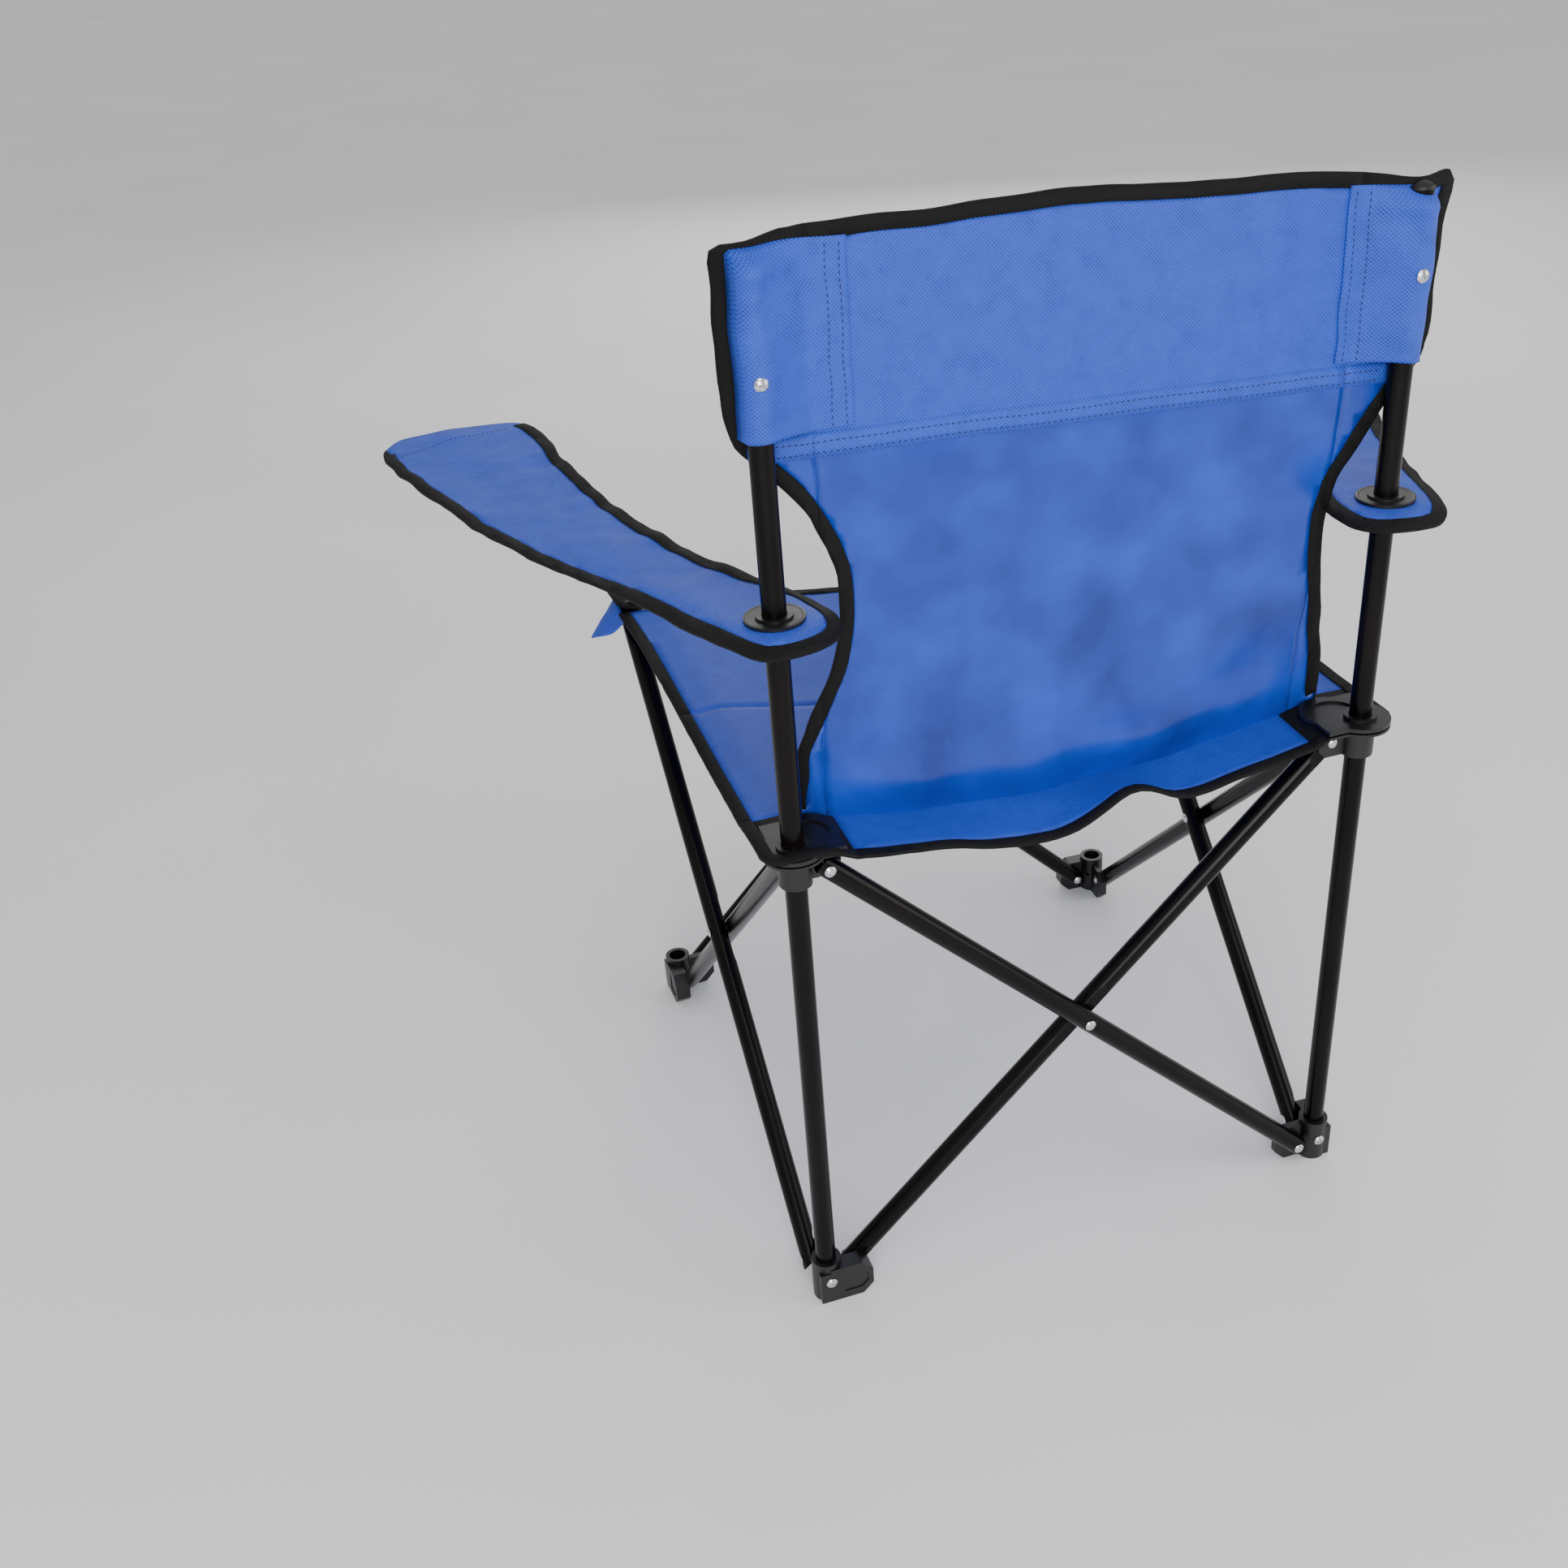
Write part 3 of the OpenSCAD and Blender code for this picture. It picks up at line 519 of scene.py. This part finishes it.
HEM_LOW, HEM_HIGH = 683 * MM, 698 * MM
hem_outline = [Vector(p) for p in ((0.226, HEM_LOW), (0.226, HEM_HIGH), (-0.222, HEM_HIGH), (-0.222, HEM_LOW))]
hem = panel(hem_outline, 5 * MM, tape=0, cuts_u=(-SEAM_X, SEAM_X))
hem_pieces = {}
for name, body, here in BACK_PARTS:
    strip, _ = sew(name + "_hem", hem, lambda x, z, tape, here=here: here(x), hem_place, body, WEAVE)
    span = {"back_middle": (-SEAM_X, SEAM_X), "back_left_side": (SEAM_X, 0.208),
            "back_right_side": (-0.206, -SEAM_X)}[name]
    rows = [stitches(f"{name}_hem_stitch_{i}", [(span[0], z), (span[1], z)], hem_place, body, BLUE_THREAD,
                     sides=(1, -1) if i else (-1,))
            for i, z in enumerate((HEM_LOW + 2.5 * MM, HEM_LOW + 9 * MM))]
    hem_pieces[name] = [strip, *rows]
    if name == "back_middle":
        for obj in hem_pieces[name]:
            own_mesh(obj)

# ---------------------------------------------------------------- pole pockets

POCKET_LOW, POCKET_HIGH = 699 * MM, 812 * MM
POCKET_R = 11.2 * MM
POCKET_OUT = 11.8 * MM          # how far outside the post's axis the pocket is sewn down
POCKET_IN = {LEFT: POST_X - 157 * MM, RIGHT: POST_X - 175 * MM}      # its free inner edge


def pocket_depth(reach):
    """How far behind the back the pocket lies, at a distance inwards from the post's axis."""
    base = CLOTH + 0.3 * MM
    axis = POST_Y - BACK_Y
    round_it = axis + math.sqrt(max(POCKET_R ** 2 - reach ** 2, 0)) if abs(reach) < POCKET_R else 0.0
    tangent_at = 5.2 * MM
    high = axis + math.sqrt(POCKET_R ** 2 - tangent_at ** 2)
    if reach > tangent_at:
        t = min(1.0, (reach - tangent_at) / (34 * MM - tangent_at))
        return max(base, high + (base - high) * (1 - (1 - t) ** 1.15))
    if reach < -10.4 * MM:
        t = min(1.0, (-reach - 10.4 * MM) / (POCKET_OUT - 10.4 * MM))
        edge = axis + math.sqrt(POCKET_R ** 2 - (10.4 * MM) ** 2)
        return edge + (base - edge) * t
    return max(base, round_it)


def pocket_place(side):
    def place(reach, z):
        x = side * (POST_X - reach)
        flat = back_place(x, z)
        loose = max(0.0, min(1.0, (reach - 8 * MM) / (20 * MM))) * hump(reach, 22 * MM, 14 * MM)
        y = flat.y + pocket_depth(reach) + loose * 1.2 * MM * wrinkle(reach * 1.4, z, 0.03, 2.7 + side)
        low = hump(z, POCKET_LOW, 0.012)
        dip = low * (1.5 * MM * math.sin((reach + 0.02) * 70))
        # above the post's end the pocket closes on the back, under its binding
        closed = max(0.0, min(1.0, (z - 0.799) / 0.012))
        y += (flat.y + CLOTH - y) * closed ** 1.5
        return Vector((flat.x, y, flat.z + dip))
    return place


pockets = {}
for side, word in SIDES:
    body = "rear_" + word
    place = pocket_place(side)
    inner = POCKET_IN[side]
    outline = [Vector(p) for p in ((-POCKET_OUT, POCKET_LOW), (inner, POCKET_LOW + 2 * MM),
                                   (inner, POCKET_HIGH), (-POCKET_OUT, POCKET_HIGH))]
    flat_pocket = panel(outline, 2.6 * MM, tape=0)
    pocket, flat = sew(word + "_pocket_cloth", flat_pocket,
                       lambda r, z, tape: True, place, body, WEAVE)
    flat_pocket.free()
    rows = [stitches(f"{word}_pocket_stitch_{i}", [(r, POCKET_LOW + 4 * MM), (r, POCKET_HIGH - 2 * MM)], place, body,
                     BLUE_THREAD, sides=(1, -1)) for i, r in enumerate((inner - 14 * MM, inner - 5 * MM))]
    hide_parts(word + "_pole_pocket")
    # the cloth goes on round the post, so its flat width is more than its width as seen
    pockets[word] = [pocket, *rows]

# ---------------------------------------------------------------- seat

# The seat's cut, in millimetres: straight sides that flare to the front corners, and a bowed front edge
SEAT_HALF, SEAT_FLARE = 245, 10
SEAT_BOW = 40
REAR_EAR = {LEFT: 10, RIGHT: 0}         # the left rear corner stands out behind the rest
CORNER_X, REAR_Y, FRONT_Y = (round(v / MM) for v in (SEAT_SIDE_X, SEAT_REAR_Y, SEAT_FRONT_Y))


def seat_side(side):
    """One side of the seat, from the middle of its rear edge round to the middle of its front edge."""
    ear = REAR_EAR[side]
    return [(side * x, y) for x, y in (
        (CORNER_X - 70, REAR_Y), (CORNER_X - 40, REAR_Y + 0.7 * ear), (SEAT_HALF, REAR_Y + ear),
        (SEAT_HALF, REAR_Y - 30), (SEAT_HALF, 130), (SEAT_HALF, -90), (SEAT_HALF + SEAT_FLARE / 2, -155),
        (SEAT_HALF + SEAT_FLARE, FRONT_Y - 20), (CORNER_X - 60, FRONT_Y), (130, FRONT_Y + SEAT_BOW / 2),
        (50, FRONT_Y + SEAT_BOW))]


SEAT_OUTLINE = rounded(seat_side(LEFT) + seat_side(RIGHT)[::-1])
SEAT_MIDDLE_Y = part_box("seat_rear")[0].y
REAR_PATCH = (178 * MM, POST_Y - 46 * MM)        # beyond this the corner's black patch rides on its bracket
FRONT_PATCH = (196 * MM, SEAT_FRONT_Y + 38 * MM)
seat = panel(SEAT_OUTLINE, 8 * MM, cuts_u=(-REAR_PATCH[0], REAR_PATCH[0], -FRONT_PATCH[0], FRONT_PATCH[0]),
             cuts_v=(REAR_PATCH[1], FRONT_PATCH[1], SEAT_MIDDLE_Y, CREASE_Y))
along_seat = walk(SEAT_OUTLINE)


def rear_corner(x, y):
    return abs(x) > REAR_PATCH[0] and y > REAR_PATCH[1]


def front_corner(x, y):
    return abs(x) > FRONT_PATCH[0] and y < FRONT_PATCH[1]


seat_pieces = {}
for name, body, anchor, here in (
        ("seat_rear", "seat_rear", 219.6 * MM, lambda x, y: y > SEAT_MIDDLE_Y and not rear_corner(x, y)),
        ("seat_front", "seat_front", 229.8 * MM, lambda x, y: y < SEAT_MIDDLE_Y and not front_corner(x, y))):
    sheet, flat = sew(name + "_cloth", seat, lambda x, y, tape, here=here: here(x, y) and not tape, seat_place, body,
                      WEAVE)
    edge, _ = sew(name + "_tape", seat, lambda x, y, tape, here=here: here(x, y) and tape, seat_place, body, BINDING,
                  run=along_seat, thick=TAPE_THICK)
    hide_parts(name)
    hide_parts(name + "_binding")
    seat_pieces[name] = (sheet, edge, flat, anchor)


def pressed_place(side, holder, tape):
    """The corner patches lie flat between the flange and its cap. The left rear tape is sewn over the cap's rim."""
    level = SEAT_REAR_Z if holder == "rear" else SEAT_FRONT_Z
    lift = 3.6 * MM if tape and holder == "rear" and side == LEFT else 0.0

    def place(x, y):
        free = seat_place(x, y)
        if holder == "rear":
            far = max((REAR_PATCH[0] + 24 * MM - abs(x)), (REAR_PATCH[1] + 22 * MM - y), 0.0) / (24 * MM)
        else:
            far = max((FRONT_PATCH[0] + 8 * MM - abs(x)), 0.0) / (8 * MM)
        share = min(1.0, far)
        curl = 7 * MM * max(0.0, (abs(x) - 238 * MM) / (12 * MM)) if holder == "front" else 0.0
        return Vector((x, y, free.z * share + (level + lift) * (1 - share) + curl))
    return place


for side, word in SIDES:
    for holder, body, patch, inside in (("rear", f"rear_{word}_bracket", REAR_PATCH, rear_corner),
                                        ("front", f"front_{word}_hub", FRONT_PATCH, front_corner)):
        def own(x, y, side=side, inside=inside):
            clear = (x - side * POST_X) ** 2 + (y - POST_Y) ** 2 > (10 * MM) ** 2
            return x * side > 0 and inside(x, y) and clear
        place = pressed_place(side, holder, False)
        cloth, flat = sew(f"{holder}_{word}_corner_patch", seat, lambda x, y, tape, own=own: own(x, y) and not tape,
                          place, body, BINDING, run=lambda p: (p.y, p.x))
        edge, _ = sew(f"{holder}_{word}_corner_tape", seat, lambda x, y, tape, own=own: own(x, y) and tape,
                      pressed_place(side, holder, True), body, BINDING, run=along_seat, thick=TAPE_THICK * 1.15)

for name, (sheet, edge, flat, anchor) in seat_pieces.items():
    for obj in (sheet, edge):
        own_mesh(obj)

# a loose end of the seat cloth stands out under its front left corner
FLAP = (257 * MM, -200 * MM)


def flap_place(u, v):
    """u runs back along the seat's side and v down from its edge."""
    bulge = 5 * MM * math.sin(u * 90) * min(1.0, v / 0.02)
    out = 0.55 * v + bulge
    return Vector((FLAP[0] - 10 * MM + out, FLAP[1] + u, SEAT_FRONT_Z - 2.5 * MM - 0.75 * v + 2 * MM * math.sin(u * 140)))


flap_flat = panel([Vector(p) * MM for p in ((0, 0), (46, 0), (34, 20), (12, 40), (-6, 36))], 3 * MM, tape=0)
flap, flat = sew("seat_corner_loose_end", flap_flat, lambda u, v, tape: True, flap_place, "front_left_hub", WEAVE)
flap_flat.free()

# ---------------------------------------------------------------- armrests

# The armrest's cut, in millimetres, with its length from the grommet and its widths in from and out of that line
ARM_END = 45                            # round end about the grommet
ARM_LONG = 510
ARM_OUT, ARM_FRONT_OUT = 45, 80         # the outer edge bows out from the grommet to the front
ARM_IN, ARM_FRONT_IN = 20, 50           # the inner edge is drawn in along the middle and broadens to the front
ARM_SLANT = 30                          # the front edge falls back on its inner side


def arm_cut():
    """The rear end, then the outer edge to the front, and the inner edge back."""
    end = [(-ARM_END * math.cos(math.radians(a)), ARM_END * math.sin(math.radians(a))) for a in (-55, -20, 20, 55)]
    outer = [(30, ARM_OUT - 3), (ARM_LONG * 0.27, ARM_OUT + 5), (ARM_LONG * 0.4, ARM_FRONT_OUT - 15),
             (ARM_LONG * 0.55, ARM_FRONT_OUT - 3), (ARM_LONG * 0.77, ARM_FRONT_OUT), (ARM_LONG - 55, ARM_FRONT_OUT),
             (ARM_LONG - 25, ARM_FRONT_OUT - 5), (ARM_LONG - 3, ARM_FRONT_OUT - 25), (ARM_LONG, ARM_FRONT_OUT / 2)]
    front = [(ARM_LONG - ARM_SLANT / 3, 0), (ARM_LONG - ARM_SLANT + 5, -ARM_FRONT_IN + 5),
             (ARM_LONG - ARM_SLANT - 10, -ARM_FRONT_IN)]
    inner = [(ARM_LONG - 70, -ARM_FRONT_IN), (ARM_LONG * 0.67, -ARM_IN - 10), (ARM_LONG * 0.45, -ARM_IN),
             (ARM_LONG * 0.24, -ARM_IN), (ARM_LONG * 0.12, -ARM_IN - 10), (20, -ARM_END + 3)]
    return end + outer + front + inner


ARM_OUTLINE = rounded(arm_cut())
HEM_LINE = 470 * MM        # the front of the arm is folded under into a pocket for the tube's end
TIP_U, TIP_V = 487 * MM, 15 * MM
arm = panel(ARM_OUTLINE, 6 * MM, cuts_u=(HEM_LINE,))
along_arm = walk(ARM_OUTLINE)


def arm_point(side, u, v, z):
    """A point u along the arm from its grommet and v outwards."""
    forward = Vector((math.sin(ARM_YAW) * side, -math.cos(ARM_YAW), 0))
    outward = Vector((math.cos(ARM_YAW) * side, math.sin(ARM_YAW), 0))
    return Vector((side * POST_X, POST_Y, z)) + forward * u + outward * v


def arm_height(side, u, v):
    free = max(0.0, math.sin(math.pi * min(max((u - 0.02) / 0.44, 0), 1)))
    sag = 7 * MM * free
    middle_v = 0.002 + 0.04 * math.sin(math.pi * min(max(u, 0), 0.5) / 0.62)
    cup = 1.5 * MM * free * ((v - middle_v) / 0.05) ** 2
    # near the post the edges and the rear end hang down
    out = math.hypot(min(u, 0.0), v) - 0.024
    cup -= 8 * MM * hump(u, -0.03, 0.17) * max(0.0, min(1.2, out / 0.02)) ** 1.4
    over_tip = 3.4 * MM * hump(u, TIP_U - 2 * MM, 20 * MM) * hump(v, TIP_V, 22 * MM)
    near_ring = max(0.0, 1 - ((u ** 2 + v ** 2) ** 0.5) / 0.05)
    folds = 2.2 * MM * wrinkle(u * 0.8, v * 1.3, 0.05, 11.0 + side) + 0.9 * MM * wrinkle(u, v, 0.02, 3.0 + side)
    edge = 2.4 * MM * wrinkle(u, 0, 0.028, 21.0 + side) * min(1, (abs(v - middle_v) / 0.05) ** 3)
    calm = (1 - near_ring) * (0.35 if u > 0.46 else 1)
    return ARM_Z - sag + cup + over_tip + (folds + edge) * calm


def arm_place(side):
    """The binding draws the edges in and out a little, as they are puckered."""
    def place(u, v):
        puckered = 1.7 * MM * wrinkle(u, v * 0.2, 0.02, 31.0 + side) * min(1.0, (abs(v) / 0.05) ** 3)
        return arm_point(side, u, v + puckered, arm_height(side, u, v))
    return place


def is_front_hem(u, v):
    return u > 0.474 + 0.4 * max(0.0, v - 0.045) and v < 0.066


for side, word in SIDES:
    body, place = word + "_armrest", arm_place(side)
    far = 9 * MM
    sheet, flat = sew(word + "_arm_cloth", arm,
                      lambda u, v, tape: (not tape or is_front_hem(u, v)) and u ** 2 + v ** 2 > far ** 2, place, body,
                      WEAVE)
    edge, _ = sew(word + "_arm_tape", arm, lambda u, v, tape: tape and not is_front_hem(u, v), place, body, BINDING,
                  run=along_arm, thick=TAPE_THICK)

    def pocket_under(u, v, side=side):
        """The folded-under front hem, deep where the tube's end lies in it."""
        depth = 34 * MM * max(0.0, 1 - (v - 6 * MM) / (30 * MM)) ** 1.2 if v > 6 * MM else 34 * MM
        wide = max(0.0, math.sin(math.pi * min(max((u - 0.462) / 0.036, 0), 1))) ** 0.45
        z = arm_height(side, u, v) - 1.4 * MM - depth * wide
        return arm_point(side, u, v, z)
    under_outline = [Vector(p) * MM for p in ((462, 8), (497, 8), (498, 40), (488, 63), (462, 66))]
    under = panel(under_outline, 3 * MM, tape=0)
    fold, _ = sew(word + "_arm_front_pocket", under, lambda u, v, tape: True, pocket_under, body, WEAVE)
    under.free()
    row = stitches(word + "_arm_hem_stitch", [(HEM_LINE, -0.03), (HEM_LINE + 4 * MM, 0.02), (HEM_LINE, 0.062)], place,
                   body, BLUE_THREAD)
    for obj in (sheet, edge, fold, row):
        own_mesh(obj)
    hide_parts(word + "_armrest")
    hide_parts(word + "_armrest_binding")

for bm in (back, hem, seat, arm):
    bm.free()

# ---------------------------------------------------------------- floor, light and camera


def stage_floor():
    bm = bmesh.new()
    bmesh.ops.create_grid(bm, x_segments=1, y_segments=1, size=60)
    bmesh.ops.translate(bm, verts=bm.verts[:], vec=(0, 0, -0.5 * MM))
    mesh = bpy.data.meshes.new("studio_floor")
    bm.to_mesh(mesh)
    bm.free()
    mesh.materials.append(studio_floor())
    obj = bpy.data.objects.new("studio_floor", mesh)
    bpy.context.scene.collection.objects.link(obj)


def soft_light(name, at, power, size):
    """A large square softbox aimed at the chair."""
    light = bpy.data.lights.new(name, "AREA")
    light.energy, light.size = power, size
    obj = bpy.data.objects.new(name, light)
    obj.location = at
    obj.rotation_mode = "QUATERNION"
    obj.rotation_quaternion = (Vector((0, 0, 0.45)) - Vector(at)).to_track_quat("-Z", "Y")
    bpy.context.scene.collection.objects.link(obj)


stage_floor()
soft_light("key_softbox", (1.0, 3.0, 1.5), 66, 1.6)
soft_light("fill_softbox", (-2.8, 1.6, 1.3), 30, 1.8)
soft_light("rear_top_softbox", (0.2, 1.5, 2.6), 14, 1.2)
soft_light("front_softbox", (-1.4, -3.2, 1.6), 30, 2.0)
world = bpy.data.worlds.new("studio")
world.use_nodes = True
world.node_tree.nodes["Background"].inputs["Color"].default_value = (1.0, 1.0, 1.0, 1.0)
world.node_tree.nodes["Background"].inputs["Strength"].default_value = 0.62
bpy.context.scene.world = world

AZIMUTH, ELEVATION, ROLL = math.radians(15.10), math.radians(30.47), math.radians(-4.67)
camera = bpy.data.cameras.new("camera")
camera.lens, camera.sensor_width = 38.77, 36.0
camera_object = bpy.data.objects.new("camera", camera)
bpy.context.scene.collection.objects.link(camera_object)
ahead = Vector((-math.sin(AZIMUTH) * math.cos(ELEVATION), -math.cos(AZIMUTH) * math.cos(ELEVATION),
                -math.sin(ELEVATION)))
level = ahead.cross(Vector((0, 0, 1))).normalized()
upright = level.cross(ahead)
right = level * math.cos(ROLL) + upright * math.sin(ROLL)
up = upright * math.cos(ROLL) - level * math.sin(ROLL)
turn = Matrix((right, up, -ahead)).transposed().to_4x4()
camera_object.matrix_world = Matrix.Translation((0.4735, 1.1623, 1.0425)) @ turn
bpy.context.scene.camera = camera_object
